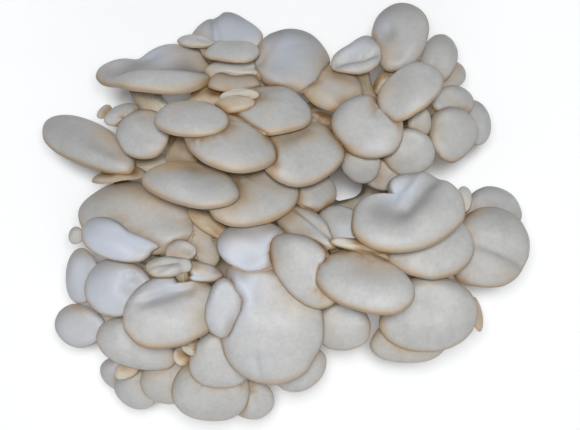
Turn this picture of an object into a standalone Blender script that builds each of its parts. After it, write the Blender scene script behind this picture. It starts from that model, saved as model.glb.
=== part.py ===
# Oyster mushroom cluster, as picked: some sixty mushrooms whose stems grow out of one fused base.
# The base is cut flat where it left the log; the cut lies on z = 0 and the caps crowd in a dome above it.
# Metres, +Z up. The origin is the middle of the cut face.

import math

import bmesh
import bpy
from mathutils import Matrix, Vector
from mathutils.bvhtree import BVHTree

MM = 0.001

# driving dimensions of the cluster
CROWN_HEIGHT = 165 * MM   # height of a cap's rim in the middle of the dome
DOME_FALL = 85 * MM       # how much lower the dome is at DOME_REACH from the middle
DOME_REACH = 170 * MM
GAP = 0.35 * MM           # left wherever two pieces press together

# proportions of a cap, as shares of its mean radius
CAP_THICKNESS = 0.24
CAP_BOW = 0.16            # height of the crown's gentle curve, from rim to middle
DIP_WIDTH = 0.42          # of the hollow over the stem
GILL_DEPTH = 0.25         # share of the thickness that the gills take off the underside
STEM_SHARE = 0.15         # stem radius
STEM_LEAST = 2.4 * MM
STEM_MOST = 10.0 * MM
STEM_FLARE = 0.9          # how much wider the stem is where it runs into the gills
FLARE_LENGTH = 1.3        # in stem radii
STEM_KEEPS_IN = 0.5       # share of the way to the rim that the flare may reach
STEM_ARRIVES = 0.30       # share of the stem's length over which it straightens into the base
FOOT_LIFT = 0.3           # how far a stem's foot turns from straight out of its knob to upright
FOOT_SINK = 5 * MM        # how far each stem is set into the base before it is fitted to it

# mesh stations, from the crown over the rim and down the stem
BIG_CAP = 90 * MM         # across + along above which a mushroom takes the finer stations
FINE = dict(segments=12, top=(0.4, 0.7, 0.9), gills=(0.7,), stem=(0.1, 0.5, 1.0))
COARSE = dict(segments=12, top=(0.5, 0.85), gills=(0.7,), stem=(0.1, 0.5, 1.0))

# the base: a cut block with one arm to the knob of stems under each clump; places and radii in mm
BLOCK = dict(size=(150, 124), height=34, below=16, top_share=0.82)
ARM_RADIUS = (34, 27)     # at the block and at the knob
ARM_START = 0.25          # share of the way out to its knob at which an arm leaves the block
ROUND_SIDES = 24
KNOBS = {
    "upper_left": dict(at=(-52, 40, 74), radius=38),
    "upper_right": dict(at=(76, 62, 66), radius=30, arm_from=(66, -4)),
    "right": dict(at=(74, -28, 70), radius=33),
    "lower_left": dict(at=(-80, -46, 66), radius=33),
    "lower_middle": dict(at=(-24, -78, 70), radius=30),
}
THROAT = dict(at=(44, 24), size=(30, 42), reach=300)  # the open way down between two clumps
BASE_VOXEL = 10 * MM
BASE_SMOOTHING = 6

CAP_COLOUR = (0.56, 0.55, 0.52, 1)
BASE_COLOUR = (0.52, 0.46, 0.36, 1)
ROUGHNESS = 0.6
CREASE_ANGLE = 60         # degrees; sharper edges than this stay sharp
WELD = 0.001 * MM


def cap(x, y, proud, across, along, heading, lean_to, lean, **form):
    """One mushroom: where its rim is centred and how far that stands proud of the dome (mm), the cap's
    width and length (mm), the way it grew out from its stem (degrees), and which way its face leans and
    how steeply (degrees). form holds what sets a cap apart: lobes and notches of the rim, dents, curls,
    and the share of the stem's length over which it keeps straight on from the cap."""
    height = CROWN_HEIGHT - DOME_FALL * ((x * MM) ** 2 + (y * MM) ** 2) / DOME_REACH ** 2
    place = Vector((x * MM, y * MM, height + proud * MM))
    base = dict(taper=0.12, dip=0.10, back=0.55, lobes=(), dents=(), curls=(), stem_leaves=0.38)
    return dict(base, place=place, across=across * MM, along=along * MM, heading=math.radians(heading),
                lean_to=math.radians(lean_to), lean=math.radians(lean), **form)


# lobes: (degrees, amount, width), dents: (across, along, depth, radius), curls: (degrees, amount);
# degrees run round the cap from its right-hand side, 90 is the growing edge, -90 the stem side
CLUMPS = {
    "upper_left": [
        cap(-97, 105, 12, 87, 61, -90, 95, 55, dip=0, back=0.25, dents=[(0, -0.2, 0.34, 0.5)],
            lobes=[(-120, 0.08, 35), (-30, -0.12, 30)], curls=[(-90, -0.08)], stem_leaves=0.75),
        cap(-46, 132, -8, 50, 39, 90, 90, 25, taper=-0.4, back=0.3, curls=[(0, -0.3), (180, -0.3)]),
        cap(-41, 116, 14, 41, 30, -110, 95, 58),
        cap(1, 110, -5, 58, 57, 20, 80, 30),
        cap(-40, 94, 2, 39, 29, -100, 90, 60),
        cap(-16, 72, 7, 62, 55, -90, 90, 48),
        cap(-68, 66, 34, 54, 41, -115, 95, 55),
        cap(-42, 49, 26, 55, 69, -30, 85, 48),
        cap(-104, 58, 18, 43, 38, -130, 120, 30),
        cap(-150, 52, 5, 39, 105, 150, 110, 48),
        cap(-68, 20, 22, 70, 44, -120, 90, 52),
        cap(-77, 43, 2, 24, 32, -80, 100, 40),
        cap(8, 43, 6, 68, 55, -45, 75, 42),
        cap(-27, 13, 0, 70, 52, -55, 80, 38),
        cap(17, 16, -15, 36, 30, -40, 60, 35),
        cap(31, 91, -6, 45, 40, -120, 90, 35),
    ],
    "upper_right": [
        cap(80, 130, 15, 42, 56, 80, 110, 25),
        cap(49, 113, 10, 40, 32, 140, 90, 40, dip=0.35, back=0.2),
        cap(111, 116, 0, 27, 48, 70, 60, 35),
        cap(120, 104, -9, 20, 31, 40, 30, 35),
        cap(119, 83, 6, 25, 35, 10, 45, 30),
        cap(137, 69, -10, 34, 31, -10, 20, 35),
        cap(118, 59, 5, 41, 39, -45, 20, 22, lobes=[(90, -0.09, 35)]),
        cap(83, 85, 31, 57, 42, -45, 125, 40),
        cap(56, 63, 11, 53, 49, -120, 110, 22),
        cap(93, 67, 8, 18, 23, -90, 0, 15),
        cap(85, 45, 5, 37, 35, -90, -90, 10),
        cap(51, 37, -8, 28, 29, -120, -120, 20),
        cap(68, 29, -11, 29, 24, -90, -90, 15),
    ],
    "right": [
        cap(81, 2, 30, 80, 61, -70, 90, 26, dip=0.4, back=0.45, lobes=[(-61, -0.28, 24)]),
        cap(98, -20, 9, 65, 60, -75, 80, 32),
        cap(145, -24, 9, 60, 68, 10, 20, 22, lobes=[(35, -0.1, 35)]),
        cap(149, 3, -5, 39, 51, 20, 60, 38),
        cap(38, -8, 1, 42, 28, -135, 110, 30),
        cap(52, -45, 40, 74, 51, -115, 90, 38),
        cap(11, -38, 22, 61, 40, -140, 150, 12),
        cap(12, -9, 3, 26, 55, 145, 110, 40),
        cap(101, -71, 14, 73, 57, -90, -60, 10, lobes=[(145, -0.09, 35)]),
        cap(86, -91, 0, 55, 37, -90, -80, 20),
        cap(38, -79, -5, 39, 39, -85, -90, 15),
    ],
    "lower_left": [
        cap(-110, -4, -3, 60, 93, 165, 110, 35, lobes=[(95, 0.05, 25)]),
        cap(-123, -19, 27, 29, 56, 160, 120, 20),
        cap(-123, -52, 20, 43, 50, 175, 150, 12),
        cap(-154, -46, 0, 42, 33, 170, 180, 35),
        cap(-157, -83, 5, 33, 41, -175, -160, 20),
        cap(-112, -94, 10, 61, 38, -110, -110, 15),
        cap(-84, -67, 27, 71, 53, -70, 90, 18),
        cap(-84, -37, 26, 20, 32, 180, 90, 45),
        cap(-77, -26, 6, 18, 23, 180, 90, 20),
        cap(-62, -18, -14, 43, 24, 5, 60, 28),
        cap(-92, -122, 0, 37, 41, -110, -110, 25),
        cap(-114, -130, 0, 33, 38, -140, -120, 30),
        cap(-130, -119, -7, 26, 33, -150, -140, 35),
    ],
    "lower_middle": [
        cap(-26, -22, 9, 50, 39, 95, 90, 20),
        cap(-13, -78, 19, 75, 86, -90, -90, 10, lobes=[(145, -0.06, 25)]),
        cap(-50, -104, 5, 45, 47, -100, -90, 18),
        cap(-57, -126, 4, 58, 59, -100, -90, 28),
        cap(-28, -135, -7, 32, 37, -80, -80, 30),
        cap(6, -110, -7, 41, 39, -50, -60, 24),
    ],
}


# scene helpers

def clear_scene():
    for item in list(bpy.data.objects):
        bpy.data.objects.remove(item, do_unlink=True)


def new_collection(name):
    made = bpy.data.collections.new(name)
    bpy.context.scene.collection.children.link(made)
    return made


def new_object(name, mesh, collection):
    made = bpy.data.objects.new(name, mesh)
    collection.objects.link(made)
    return made


def flesh(name, colour):
    material = bpy.data.materials.new(name)
    material.use_nodes = True
    shader = material.node_tree.nodes["Principled BSDF"]
    shader.inputs["Base Color"].default_value = colour
    shader.inputs["Roughness"].default_value = ROUGHNESS
    shader.inputs["Metallic"].default_value = 0.0
    return material


# the form of one cap, in its own frame: x across, y the way it grew, z out of its face

def cap_axes(form):
    face = Vector((math.sin(form["lean"]) * math.cos(form["lean_to"]),
                   math.sin(form["lean"]) * math.sin(form["lean_to"]), math.cos(form["lean"])))
    ahead = Vector((math.cos(form["heading"]), math.sin(form["heading"]), 0))
    ahead.z = -(face.x * ahead.x + face.y * ahead.y) / face.z
    ahead.normalize()
    return ahead.cross(face), ahead, face


def cap_matrix(form):
    turn = Matrix(cap_axes(form)).transposed().to_4x4()
    return Matrix.Translation(form["place"]) @ turn


def mean_radius(form):
    return (form["across"] + form["along"]) / 4


def stem_root(form):
    """Where the stem meets the cap: behind the middle, towards the side it grew from."""
    return Vector((0, -form["back"] * form["along"] / 2))


def rim_point(form, angle):
    swell = 1.0
    for degrees, amount, width in form["lobes"]:
        off = math.remainder(angle - math.radians(degrees), 2 * math.pi)
        swell += amount * math.exp(-(off / math.radians(width)) ** 2)
    wide = form["across"] / 2 * (1 + form["taper"] * math.sin(angle))
    return Vector((wide * math.cos(angle), form["along"] / 2 * math.sin(angle))) * swell


def face_height(form, point):
    """Height of the cap's middle sheet: bowed, dipped at the stem, dented and curled."""
    u, v = point.x / (form["across"] / 2), point.y / (form["along"] / 2)
    height = CAP_BOW * (1 - u * u - v * v)
    height -= form["dip"] * math.exp(-(u * u + (v + form["back"]) ** 2) / DIP_WIDTH ** 2)
    for side, front, depth, radius in form["dents"]:
        height -= depth * math.exp(-((u - side) ** 2 + (v - front) ** 2) / radius ** 2)
    for degrees, amount in form["curls"]:
        towards = u * math.cos(math.radians(degrees)) + v * math.sin(math.radians(degrees))
        height -= amount * max(0.0, towards) ** 2
    return height * mean_radius(form)


def cap_point(form, share, angle, upper):
    """A point of the cap's skin, share of the way from the stem to the rim, on the top or the gills."""
    root = stem_root(form)
    point = root + (rim_point(form, angle) - root) * share
    thick = CAP_THICKNESS * mean_radius(form)
    if upper:
        rise = thick * math.sqrt(max(0.0, 1 - share ** 3))
    else:
        hollow = 1 - share ** 2
        rise = thick * GILL_DEPTH * (hollow - math.sqrt(max(0.0, hollow)) * share ** 6)
    return Vector((point.x, point.y, face_height(form, point) + rise))


# the stem, from under the cap to its foot in the base

def stem_radius(form):
    return min(STEM_MOST, STEM_LEAST + STEM_SHARE * mean_radius(form))


def stem_path(form, knob):
    """The four control points of the stem's curve, in the cap's frame."""
    inverse = cap_matrix(form).inverted()
    start = cap_point(form, 0.0, 0.0, False)
    centre = inverse @ (Vector(knob["at"]) * MM)
    outward = (start - centre).normalized()
    foot = centre + outward * (knob["radius"] * MM - FOOT_SINK)
    length = (start - foot).length
    rise = outward.lerp(inverse.to_3x3() @ Vector((0, 0, 1)), FOOT_LIFT)
    leave = Vector((0, 0, form["stem_leaves"] * length))
    return [start, start - leave, foot + rise * STEM_ARRIVES * length, foot]


def on_curve(path, share):
    a, b, c, d = path
    rest = 1 - share
    return a * rest ** 3 + b * (3 * rest * rest * share) + c * (3 * rest * share * share) + d * share ** 3


def stem_rings(form, path, shares, segments):
    """Rings of points round the stem's curve, carried along it without twisting."""
    radius = stem_radius(form)
    length = (path[0] - path[3]).length
    root = stem_root(form)
    spokes, reach = [], []
    for k in range(segments):
        away = rim_point(form, 2 * math.pi * k / segments) - root
        spokes.append(Vector((away.x, away.y, 0)).normalized())
        reach.append(away.length * STEM_KEEPS_IN)
    rings = []
    heading = Vector((0, 0, -1))
    for share in shares:
        ahead = (on_curve(path, min(1.0, share + 0.01)) - on_curve(path, share - 0.01)).normalized()
        turn = heading.rotation_difference(ahead)
        spokes = [turn @ spoke for spoke in spokes]
        heading = ahead
        wide = radius * (1 + STEM_FLARE * math.exp(-share * length / (FLARE_LENGTH * radius)))
        centre = on_curve(path, share)
        rings.append([centre + spoke * min(wide, room + share * length / 2)
                      for spoke, room in zip(spokes, reach)])
    return rings


def mushroom_mesh(name, form, knob):
    """A UV sphere drawn out over the rings of crown, rim, gills and stem."""
    detail = FINE if form["across"] + form["along"] > BIG_CAP else COARSE
    segments = detail["segments"]
    angles = [2 * math.pi * k / segments for k in range(segments)]
    path = stem_path(form, knob)
    rings = [[cap_point(form, share, angle, True) for angle in angles] for share in detail["top"] + (1.0,)]
    rings += [[cap_point(form, share, angle, False) for angle in angles] for share in detail["gills"]]
    rings += stem_rings(form, path, detail["stem"], segments)
    bands = len(rings) + 1
    work = bmesh.new()
    bmesh.ops.create_uvsphere(work, u_segments=segments, v_segments=bands, radius=1.0)
    for vert in work.verts:
        ring = round(math.acos(max(-1.0, min(1.0, vert.co.z))) / math.pi * bands)
        spoke = round(math.atan2(vert.co.y, vert.co.x) / (2 * math.pi) * segments) % segments
        if ring == 0:
            vert.co = cap_point(form, 0.0, 0.0, True)
        elif ring == bands:
            vert.co = path[3]
        else:
            vert.co = rings[ring - 1][spoke]
    bmesh.ops.triangulate(work, faces=work.faces)
    mesh = bpy.data.meshes.new(name)
    work.to_mesh(mesh)
    work.free()
    return mesh


# the base

def add_ball(work, centre, radius):
    bmesh.ops.create_uvsphere(work, u_segments=ROUND_SIDES, v_segments=ROUND_SIDES // 2, radius=radius * MM,
                              matrix=Matrix.Translation(Vector(centre) * MM))


def add_arm(work, start, end):
    """A tapering limb between two points, given in mm."""
    start, end = Vector(start) * MM, Vector(end) * MM
    along = end - start
    turn = Vector((0, 0, 1)).rotation_difference(along).to_matrix().to_4x4()
    bmesh.ops.create_cone(work, cap_ends=True, segments=ROUND_SIDES, radius1=ARM_RADIUS[0] * MM,
                          radius2=ARM_RADIUS[1] * MM, depth=along.length,
                          matrix=Matrix.Translation((start + end) / 2) @ turn)


def add_oval_block(work, centre, size, depth, top_share=1.0):
    """An upright oval plug about a point, given in mm."""
    shape = Matrix.Diagonal((size[0] / 2 * MM, size[1] / 2 * MM, 1, 1))
    bmesh.ops.create_cone(work, cap_ends=True, segments=ROUND_SIDES, radius1=1, radius2=top_share,
                          depth=depth * MM, matrix=Matrix.Translation(Vector(centre) * MM) @ shape)


def object_from(work, name, collection):
    mesh = bpy.data.meshes.new(name)
    work.to_mesh(mesh)
    work.free()
    return new_object(name, mesh, collection)


def base_mesh(name, collection):
    """Block, arms and knobs run together by a voxel remesh, opened by the throat and cut flat at z = 0."""
    work = bmesh.new()
    middle = (BLOCK["height"] - BLOCK["below"]) / 2
    add_oval_block(work, (0, 0, middle), BLOCK["size"], BLOCK["height"] + BLOCK["below"], BLOCK["top_share"])
    for knob in KNOBS.values():
        x, y, _ = knob["at"]
        start = knob.get("arm_from", (x * ARM_START, y * ARM_START))
        add_arm(work, (*start, BLOCK["height"] / 2), knob["at"])
        add_ball(work, knob["at"], knob["radius"])
    blank = object_from(work, name + "_rough", collection)
    plug = bmesh.new()
    add_oval_block(plug, (*THROAT["at"], 0), THROAT["size"], THROAT["reach"])
    cutter = object_from(plug, "throat_cutter", collection)
    cutter.hide_render = True
    cutter.display_type = "WIRE"
    for step in ("grown_together", "throat", "grown_round"):
        if step == "throat":
            cut = blank.modifiers.new(step, "BOOLEAN")
            cut.operation = "DIFFERENCE"
            cut.solver = "EXACT"
            cut.object = cutter
        else:
            remesh = blank.modifiers.new(step, "REMESH")
            remesh.mode = "VOXEL"
            remesh.voxel_size = BASE_VOXEL
    smooth = blank.modifiers.new("softened", "SMOOTH")
    smooth.factor = 0.5
    smooth.iterations = BASE_SMOOTHING
    mesh = baked(blank, name)
    bpy.data.objects.remove(blank, do_unlink=True)
    cut = bmesh.new()
    cut.from_mesh(mesh)
    geometry = cut.verts[:] + cut.edges[:] + cut.faces[:]
    made = bmesh.ops.bisect_plane(cut, geom=geometry, plane_co=(0, 0, 0), plane_no=(0, 0, -1),
                                  clear_outer=True)["geom_cut"]
    rim = [item for item in made if isinstance(item, bmesh.types.BMEdge)]
    bmesh.ops.edgeloop_fill(cut, edges=rim)
    bmesh.ops.recalc_face_normals(cut, faces=cut.faces)
    bmesh.ops.triangulate(cut, faces=cut.faces)
    cut.to_mesh(mesh)
    cut.free()
    return mesh


# fitting pieces to each other

def baked(item, name):
    """The object's mesh with its modifiers applied, in its own frame."""
    bpy.context.view_layer.update()
    seen = item.evaluated_get(bpy.context.evaluated_depsgraph_get())
    mesh = bpy.data.meshes.new_from_object(seen)
    mesh.name = name
    return mesh


def grown_copy(item, collection):
    """A hidden cutter: the object swollen by the gap."""
    mesh = item.data.copy()
    work = bmesh.new()
    work.from_mesh(mesh)
    work.normal_update()
    moves = [(vert, vert.co + vert.normal * GAP) for vert in work.verts]
    for vert, place in moves:
        vert.co = place
    work.to_mesh(mesh)
    work.free()
    cutter = new_object(item.name + "_cutter", mesh, collection)
    cutter.matrix_world = item.matrix_world
    cutter.hide_render = True
    cutter.display_type = "WIRE"
    return cutter


def world_tree(item):
    work = bmesh.new()
    work.from_mesh(item.data)
    work.transform(item.matrix_world)
    tree = BVHTree.FromBMesh(work)
    work.free()
    return tree


def drop_chips(mesh):
    """Keeps the largest connected body of a mesh and removes slivers that a cut has left loose."""
    work = bmesh.new()
    work.from_mesh(mesh)
    bmesh.ops.remove_doubles(work, verts=work.verts, dist=WELD)
    unseen = set(work.verts)
    bodies = []
    while unseen:
        body, front = set(), [unseen.pop()]
        while front:
            vert = front.pop()
            body.add(vert)
            for edge in vert.link_edges:
                other = edge.other_vert(vert)
                if other in unseen:
                    unseen.remove(other)
                    front.append(other)
        bodies.append(body)
    bodies.sort(key=len, reverse=True)
    for body in bodies[1:]:
        bmesh.ops.delete(work, geom=list(body), context="VERTS")
    bmesh.ops.triangulate(work, faces=work.faces)
    work.to_mesh(mesh)
    work.free()


def fit(item, cutters):
    """Cuts the object clear of each cutter that reaches into it."""
    for cutter in cutters:
        cut = item.modifiers.new("clear_of_" + cutter.name, "BOOLEAN")
        cut.operation = "DIFFERENCE"
        cut.solver = "EXACT"
        cut.object = cutter
    mesh = baked(item, item.name)
    item.modifiers.clear()
    old = item.data
    item.data = mesh
    bpy.data.meshes.remove(old)
    drop_chips(item.data)


def finish(item, colour, parent):
    item.data.materials.clear()
    item.data.materials.append(flesh(item.name + "_flesh", colour))
    item.data.shade_smooth()
    item.data.set_sharp_from_angle(angle=math.radians(CREASE_ANGLE))
    item.parent = parent


def build():
    clear_scene()
    parts = new_collection("oyster_mushroom_cluster")
    cutters = new_collection("cutters")
    cluster = new_object("cluster", None, parts)
    base = new_object("stem_base", base_mesh("stem_base", cutters), parts)
    mushrooms = []
    for clump, caps in CLUMPS.items():
        for number, form in enumerate(caps, start=1):
            name = f"{clump}_mushroom_{number:02d}"
            item = new_object(name, mushroom_mesh(name, form, KNOBS[clump]), parts)
            item.matrix_world = cap_matrix(form)
            mushrooms.append(item)
    bpy.context.view_layer.update()
    base_cutter = grown_copy(base, cutters)
    swollen = {item: grown_copy(item, cutters) for item in mushrooms}
    bpy.context.view_layer.update()
    trees = {item: world_tree(item) for item in mushrooms}
    grown_trees = {item: world_tree(swollen[item]) for item in mushrooms}
    mushrooms.sort(key=lambda item: item.matrix_world.translation.z, reverse=True)
    for index, item in enumerate(mushrooms):
        above = [other for other in mushrooms[:index] if grown_trees[other].overlap(trees[item])]
        fit(item, [base_cutter] + [swollen[other] for other in above])
    for item in mushrooms:
        finish(item, CAP_COLOUR, cluster)
    finish(base, BASE_COLOUR, cluster)


build()
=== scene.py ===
import math
import zlib
import bpy
import numpy as np
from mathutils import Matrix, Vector
from mathutils.bvhtree import BVHTree


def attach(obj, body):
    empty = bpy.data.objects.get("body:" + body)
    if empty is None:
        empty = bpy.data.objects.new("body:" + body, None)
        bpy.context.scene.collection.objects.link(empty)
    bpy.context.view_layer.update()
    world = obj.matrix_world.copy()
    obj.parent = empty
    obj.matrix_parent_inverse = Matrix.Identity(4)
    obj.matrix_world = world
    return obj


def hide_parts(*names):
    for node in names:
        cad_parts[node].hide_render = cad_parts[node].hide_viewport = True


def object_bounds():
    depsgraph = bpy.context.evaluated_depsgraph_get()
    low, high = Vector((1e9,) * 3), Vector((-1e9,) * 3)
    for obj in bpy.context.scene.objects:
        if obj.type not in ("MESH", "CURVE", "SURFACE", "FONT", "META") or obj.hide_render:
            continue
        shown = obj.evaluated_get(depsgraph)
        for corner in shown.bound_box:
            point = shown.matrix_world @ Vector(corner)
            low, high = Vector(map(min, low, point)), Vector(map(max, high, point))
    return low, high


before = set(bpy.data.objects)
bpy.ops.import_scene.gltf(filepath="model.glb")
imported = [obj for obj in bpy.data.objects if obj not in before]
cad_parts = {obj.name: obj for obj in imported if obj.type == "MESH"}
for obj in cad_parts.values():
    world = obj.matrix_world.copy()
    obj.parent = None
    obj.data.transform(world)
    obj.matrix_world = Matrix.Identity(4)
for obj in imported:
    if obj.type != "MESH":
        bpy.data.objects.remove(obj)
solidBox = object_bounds()
print("frame loaded,", len(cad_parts), "solids")

mm = 0.001
smallest = 1e-12  # keeps a division from meeting zero

studio = dict(cameraHeight=1.43, lens=112.0, floorSize=40.0, floorColour=(0.93, 0.93, 0.93, 1),
              floorRoughness=0.9, roomColour=(1.0, 0.92, 0.83, 1), roomStrength=0.115)
keyLamp = dict(place=(0.0, 0.06, 1.43), size=0.2, power=8.1, colour=(0.955, 0.98, 1.0))
skyLamp = dict(place=(-0.5, 1.1, 0.75), size=1.2, power=1.0, colour=(0.72, 0.82, 1.0))
fillLamp = dict(place=(0.15, -1.0, 1.0), size=0.9, power=3.2, colour=(0.97, 0.98, 1.0))
overheadLamp = dict(strength=1.58, spread=8.0, tilt=-4.0, colour=(0.955, 0.98, 1.0))  # degrees


def makeMaterial(name):
    material = bpy.data.materials.new(name)
    material.use_nodes = True
    tree = material.node_tree
    return material, tree, tree.nodes["Principled BSDF"]


def addNode(tree, kind, **values):
    node = tree.nodes.new(kind)
    for key, value in values.items():
        if key in node.inputs:
            node.inputs[key].default_value = value
        else:
            setattr(node, key, value)
    return node


def addObject(name, data):
    piece = bpy.data.objects.new(name, data)
    bpy.context.scene.collection.objects.link(piece)
    return piece


def addArea(name, values, aim):
    lamp = bpy.data.lights.new(name, "AREA")
    lamp.shape = "DISK"
    lamp.size = values["size"]
    lamp.energy = values["power"]
    lamp.color = values["colour"]
    holder = addObject(name, lamp)
    holder.location = values["place"]
    holder.rotation_euler = (Vector(aim) - Vector(values["place"])).to_track_quat("-Z", "Y").to_euler()


def addOverhead():  # even light from above that reaches the far floor too
    lamp = bpy.data.lights.new("overhead", "SUN")
    lamp.energy = overheadLamp["strength"]
    lamp.angle = math.radians(overheadLamp["spread"])
    lamp.color = overheadLamp["colour"]
    addObject("overhead", lamp).rotation_euler = (math.radians(overheadLamp["tilt"]), 0, 0)


def buildStudio():
    scene = bpy.context.scene
    camera = bpy.data.cameras.new("camera")
    camera.lens = studio["lens"]
    scene.camera = addObject("camera", camera)
    scene.camera.location = (0, 0, studio["cameraHeight"])  # over the cut face, looking straight down
    middle = (solidBox[0] + solidBox[1]) / 2
    addArea("key", keyLamp, middle)
    addOverhead()
    addArea("sky", skyLamp, middle)
    addArea("fill", fillLamp, middle)
    world = bpy.data.worlds.new("room")
    world.use_nodes = True
    world.node_tree.nodes["Background"].inputs["Color"].default_value = studio["roomColour"]
    world.node_tree.nodes["Background"].inputs["Strength"].default_value = studio["roomStrength"]
    scene.world = world
    scene.view_settings.view_transform = "Standard"
    half = studio["floorSize"] / 2
    corners = [(-half, -half, 0), (half, -half, 0), (half, half, 0), (-half, half, 0)]
    sheet = bpy.data.meshes.new("floor")
    sheet.from_pydata(corners, [], [(0, 1, 2, 3)])
    floor = addObject("floor", sheet)
    material, tree, shader = makeMaterial("pale_floor")
    shader.inputs["Base Color"].default_value = studio["floorColour"]
    shader.inputs["Roughness"].default_value = studio["floorRoughness"]
    sheet.materials.append(material)


# the cool tone is painted bluish sky light; brown and furrow are painted shade; tan, grey and edge are partly
# the flesh's own colour, partly painted shade
skin = dict(pale=(0.50, 0.50, 0.49), light=(0.56, 0.56, 0.555), coolLight=(0.51, 0.55, 0.64),
            tan=(0.46, 0.31, 0.15), grey=(0.20, 0.20, 0.205), brown=(0.155, 0.068, 0.011),
            gill=(0.60, 0.54, 0.43), furrowShade=(0.27, 0.20, 0.12), edge=(0.21, 0.14, 0.08),
            stem=(0.58, 0.56, 0.50), roughness=0.5, gloss=0.35, seeThrough=0.12,
            seeColour=(1.0, 0.55, 0.3), seeInto=4 * mm,
            grainBump=(0.12, 0.6 * mm), fibreBump=(0.25, 0.8 * mm))  # strength, distance
# each noise has a scale, a detail and a roughness
skinNoise = dict(broad=(28.0, 2.0, 0.5), fine=(260.0, 3.0, 0.6), streaks=(9.0, 3.0, 0.6),
                 blotches=(85.0, 4.0, 0.65), specks=(330.0, 3.0, 0.6))
# how far each layer shows: the noise or tone times the first number, plus the second
skinLayers = dict(mottled=(1.4, -0.05), streaked=(0.6, 0.0), blotched=(0.55, -0.18), specked=(0.5, -0.2),
                  rimmed=(0.7, 0.05), underStreaked=(0.7, 0.0), furrowShaded=(0.7, 0.0),
                  stalkStreaked=(1.6, -0.4), edged=(0.55, 0.0), crowded=(0.95, 0.0), seamShaded=(0.9, 0.0))
toneNames = ("gill", "stalk", "crowd", "seamShade", "warm", "rim", "coolLight", "grey", "furrowShade", "edge")
foot = dict(fibre=(0.54, 0.50, 0.42), tan=(0.42, 0.32, 0.20), dark=(0.19, 0.11, 0.045), roughness=0.8,
            upright=(1.0, 1.0, 0.12), grained=(2.0, -0.6), darkBelow=(2.4, -0.3), grainBump=(0.5, 1 * mm))
footNoise = dict(grain=(190.0, 4.0, 0.6), darkPatches=(55.0, 4.0, 0.6), fine=(500.0, 3.0, 0.6))


def mixColour(tree, factor, first, second):
    mix = tree.nodes.new("ShaderNodeMix")
    mix.data_type = "RGBA"
    sockets = {socket.identifier: socket for socket in mix.inputs}
    for key, value in (("Factor_Float", factor), ("A_Color", first), ("B_Color", second)):
        if isinstance(value, bpy.types.NodeSocket):
            tree.links.new(value, sockets[key])
        else:
            sockets[key].default_value = (*value, 1)
    return next(socket for socket in mix.outputs if socket.identifier == "Result_Color")


def mathNode(tree, operation, *values):
    node = tree.nodes.new("ShaderNodeMath")
    node.operation = operation
    node.use_clamp = True
    for socket, value in zip(node.inputs, values):
        if isinstance(value, bpy.types.NodeSocket):
            tree.links.new(value, socket)
        else:
            socket.default_value = value
    return node.outputs[0]


def scaled(tree, socket, amounts):
    return mathNode(tree, "MULTIPLY_ADD", socket, *amounts)


def times(tree, first, second):
    return mathNode(tree, "MULTIPLY", first, second)


def toneOf(tree, name):
    return addNode(tree, "ShaderNodeAttribute", attribute_name=name).outputs["Fac"]


def noiseOf(tree, vector, scale, detail, roughness):
    node = addNode(tree, "ShaderNodeTexNoise", Scale=scale, Detail=detail, Roughness=roughness)
    tree.links.new(vector, node.inputs["Vector"])
    return node.outputs["Fac"]


def addBump(tree, height, strength, distance, under=None):
    bump = addNode(tree, "ShaderNodeBump", Strength=strength, Distance=distance)
    tree.links.new(height, bump.inputs["Height"])
    if under:
        tree.links.new(under, bump.inputs["Normal"])
    return bump.outputs["Normal"]


def mushroomFlesh():
    material, tree, shader = makeMaterial("mushroom_flesh")
    places = addNode(tree, "ShaderNodeTexCoord").outputs["Object"]
    growth = addNode(tree, "ShaderNodeAttribute", attribute_name="growth").outputs["Vector"]
    tones = {name: toneOf(tree, name) for name in toneNames}
    noises = {name: noiseOf(tree, growth if name == "streaks" else places, *values)
              for name, values in skinNoise.items()}

    def shown(socket, layer):
        return scaled(tree, socket, skinLayers[layer])

    mottle = shown(noises["broad"], "mottled")
    cap = mixColour(tree, shown(noises["streaks"], "streaked"), skin["pale"], skin["light"])
    cap = mixColour(tree, shown(noises["blotches"], "blotched"), cap, skin["grey"])
    cap = mixColour(tree, shown(noises["specks"], "specked"), cap, skin["grey"])
    # painted bluish light from the sky side
    cap = mixColour(tree, tones["coolLight"], cap, skin["coolLight"])
    # grey: partly the flesh's own tone, partly painted shade in hollows and on the sides turned from the
    # light
    cap = mixColour(tree, tones["grey"], cap, skin["grey"])
    # tan: the flesh's own tone, plus painted warm shade in patches near neighbours
    cap = mixColour(tree, times(tree, mottle, tones["warm"]), cap, skin["tan"])
    # tan rims, with painted shade making the lower ones browner
    cap = mixColour(tree, times(tree, tones["rim"], shown(mottle, "rimmed")), cap, skin["tan"])
    under = mixColour(tree, shown(noises["streaks"], "underStreaked"), skin["gill"], skin["stem"])
    # painted shade darkening the gill furrows
    under = mixColour(tree, shown(tones["furrowShade"], "furrowShaded"), under, skin["furrowShade"])
    stalk = mixColour(tree, shown(noises["streaks"], "stalkStreaked"), skin["stem"], skin["gill"])
    body = mixColour(tree, tones["gill"], cap, under)
    body = mixColour(tree, tones["stalk"], body, stalk)
    # dark edge line: part brown margin, part painted shade, most on the lower rims
    body = mixColour(tree, shown(tones["edge"], "edged"), body, skin["edge"])
    # painted shade: tan where neighbours crowd in, brown where they touch or overhang
    body = mixColour(tree, shown(tones["crowd"], "crowded"), body, skin["tan"])
    body = mixColour(tree, shown(tones["seamShade"], "seamShaded"), body, skin["brown"])
    tree.links.new(body, shader.inputs["Base Color"])
    shader.inputs["Roughness"].default_value = skin["roughness"]
    shader.inputs["Specular IOR Level"].default_value = skin["gloss"]
    shader.inputs["Subsurface Weight"].default_value = skin["seeThrough"]
    shader.inputs["Subsurface Radius"].default_value = skin["seeColour"]
    shader.inputs["Subsurface Scale"].default_value = skin["seeInto"]
    grain = addBump(tree, noises["fine"], *skin["grainBump"])
    fibres = addBump(tree, noises["streaks"], *skin["fibreBump"], under=grain)
    tree.links.new(fibres, shader.inputs["Normal"])
    return material


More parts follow.
